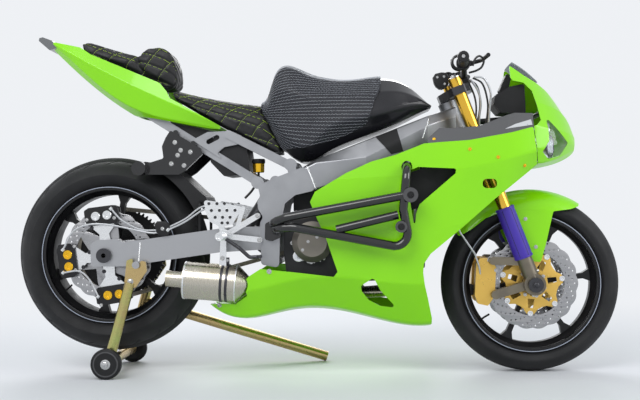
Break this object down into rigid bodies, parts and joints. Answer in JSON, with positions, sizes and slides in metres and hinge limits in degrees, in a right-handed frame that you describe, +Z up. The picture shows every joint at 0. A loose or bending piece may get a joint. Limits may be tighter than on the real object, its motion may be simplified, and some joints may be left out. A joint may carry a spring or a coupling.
{
  "type": "stunt-prepared sport bike on a rear paddock stand",
  "caption": "Sport bike with full side fairing, crash cage and gold front fork, resting on its front wheel and a rear paddock stand; steering and wheels turn.",
  "frame": {"origin": "centre of the bounding box on the floor plane", "axes": "+X forward, +Y to the rider's left, +Z up"},
  "size_m": [2.0052, 0.7048, 1.1259],
  "materials": {
    "lime_gloss": "gloss lime paint on moulded panels",
    "frame_silver": "satin silver",
    "engine_grey": "matt dark",
    "cover_bronze": "bronze grey, satin",
    "black_metal": "satin black",
    "tank_black": "satin black",
    "cover_leather": "padded cover",
    "seat_leather": "quilted",
    "smoke_lens": "smoked",
    "clear_lens": "clear",
    "black_plastic": "matt black",
    "black_gloss": "gloss black",
    "puck_grey": "matt",
    "dark_steel": "dark",
    "bright_alloy": "machined",
    "chain_steel": "oiled",
    "stainless": "brushed",
    "zinc_yellow": "yellow passivated zinc",
    "fork_gold": "gold anodised",
    "cover_blue": "blue sleeve",
    "foot_bronze": "bronze grey",
    "caliper_gold": "gold",
    "hose_grey": "braided hose in a clear sleeve",
    "tyre_rubber": "road rubber",
    "disc_steel": "ground steel"
  },
  "bodies": {
    "root": {"main_frame": "frame_silver", "engine_block": "engine_grey", "engine_covers": "cover_bronze", "radiator": "black_metal", "fuel_tank": "tank_black", "tank_cover": "cover_leather", "rider_seat": "seat_leather", "tail_seat": "seat_leather", "tail_fairing": "lime_gloss", "tail_light": "smoke_lens", "subframe": "frame_silver", "undertray": "black_plastic", "stunt_bar": "black_gloss", "side_fairings": "lime_gloss", "nose_cowl": "lime_gloss", "headlights": "clear_lens", "windscreen": "smoke_lens", "cockpit_panels": "black_plastic", "fairing_stay": "black_metal", "crash_cage": "black_gloss", "cage_pucks": "puck_grey", "swingarm": "frame_silver", "rear_axle": "dark_steel", "caliper_brackets": "bright_alloy", "rear_calipers": "black_metal", "drive_chain": "chain_steel", "rearsets": "bright_alloy", "foot_controls": "dark_steel", "exhaust": "stainless", "shock_absorber": "dark_steel", "rear_hugger": "black_plastic", "air_duct": "black_plastic", "radiator_shrouds": "black_plastic", "stand_frame": "zinc_yellow"},
    "steering": {"yokes": "dark_steel", "fork_tubes": "fork_gold", "fork_covers": "cover_blue", "fork_feet": "foot_bronze", "front_axle": "dark_steel", "front_calipers": "caliper_gold", "front_fender": "lime_gloss", "handlebar": "black_metal", "bar_controls": "black_plastic", "front_brake_line": "hose_grey"},
    "front_wheel": {"front_tyre": "tyre_rubber", "front_rim": "black_metal", "front_discs": "disc_steel"},
    "rear_wheel": {"rear_tyre": "tyre_rubber", "rear_rim": "black_metal", "rear_disc": "disc_steel", "sprocket": "black_metal"},
    "stand_wheel_right": {"stand_wheel_right": "black_plastic"},
    "stand_wheel_left": {"stand_wheel_left": "black_plastic"}
  },
  "joints": [
    {"name": "steering", "type": "hinge", "parent": "root", "child": "steering", "pos_m": [0.4775, 0, 0.8053], "axis": [-0.3535, 0, 0.9354], "range_deg": [-27, 27]},
    {"name": "front_wheel_spin", "type": "hinge", "parent": "steering", "child": "front_wheel", "pos_m": [0.70865, 0, 0.294], "axis": [0, 1, 0], "continuous": true},
    {"name": "rear_wheel_spin", "type": "hinge", "parent": "root", "child": "rear_wheel", "pos_m": [-0.68765, 0, 0.3956], "axis": [0, 1, 0], "continuous": true},
    {"name": "stand_wheel_right_spin", "type": "hinge", "parent": "root", "child": "stand_wheel_right", "pos_m": [-0.67065, -0.1945, 0.0495], "axis": [0, 1, 0], "continuous": true},
    {"name": "stand_wheel_left_spin", "type": "hinge", "parent": "root", "child": "stand_wheel_left", "pos_m": [-0.67065, 0.1945, 0.0495], "axis": [0, 1, 0], "continuous": true}
  ]
}
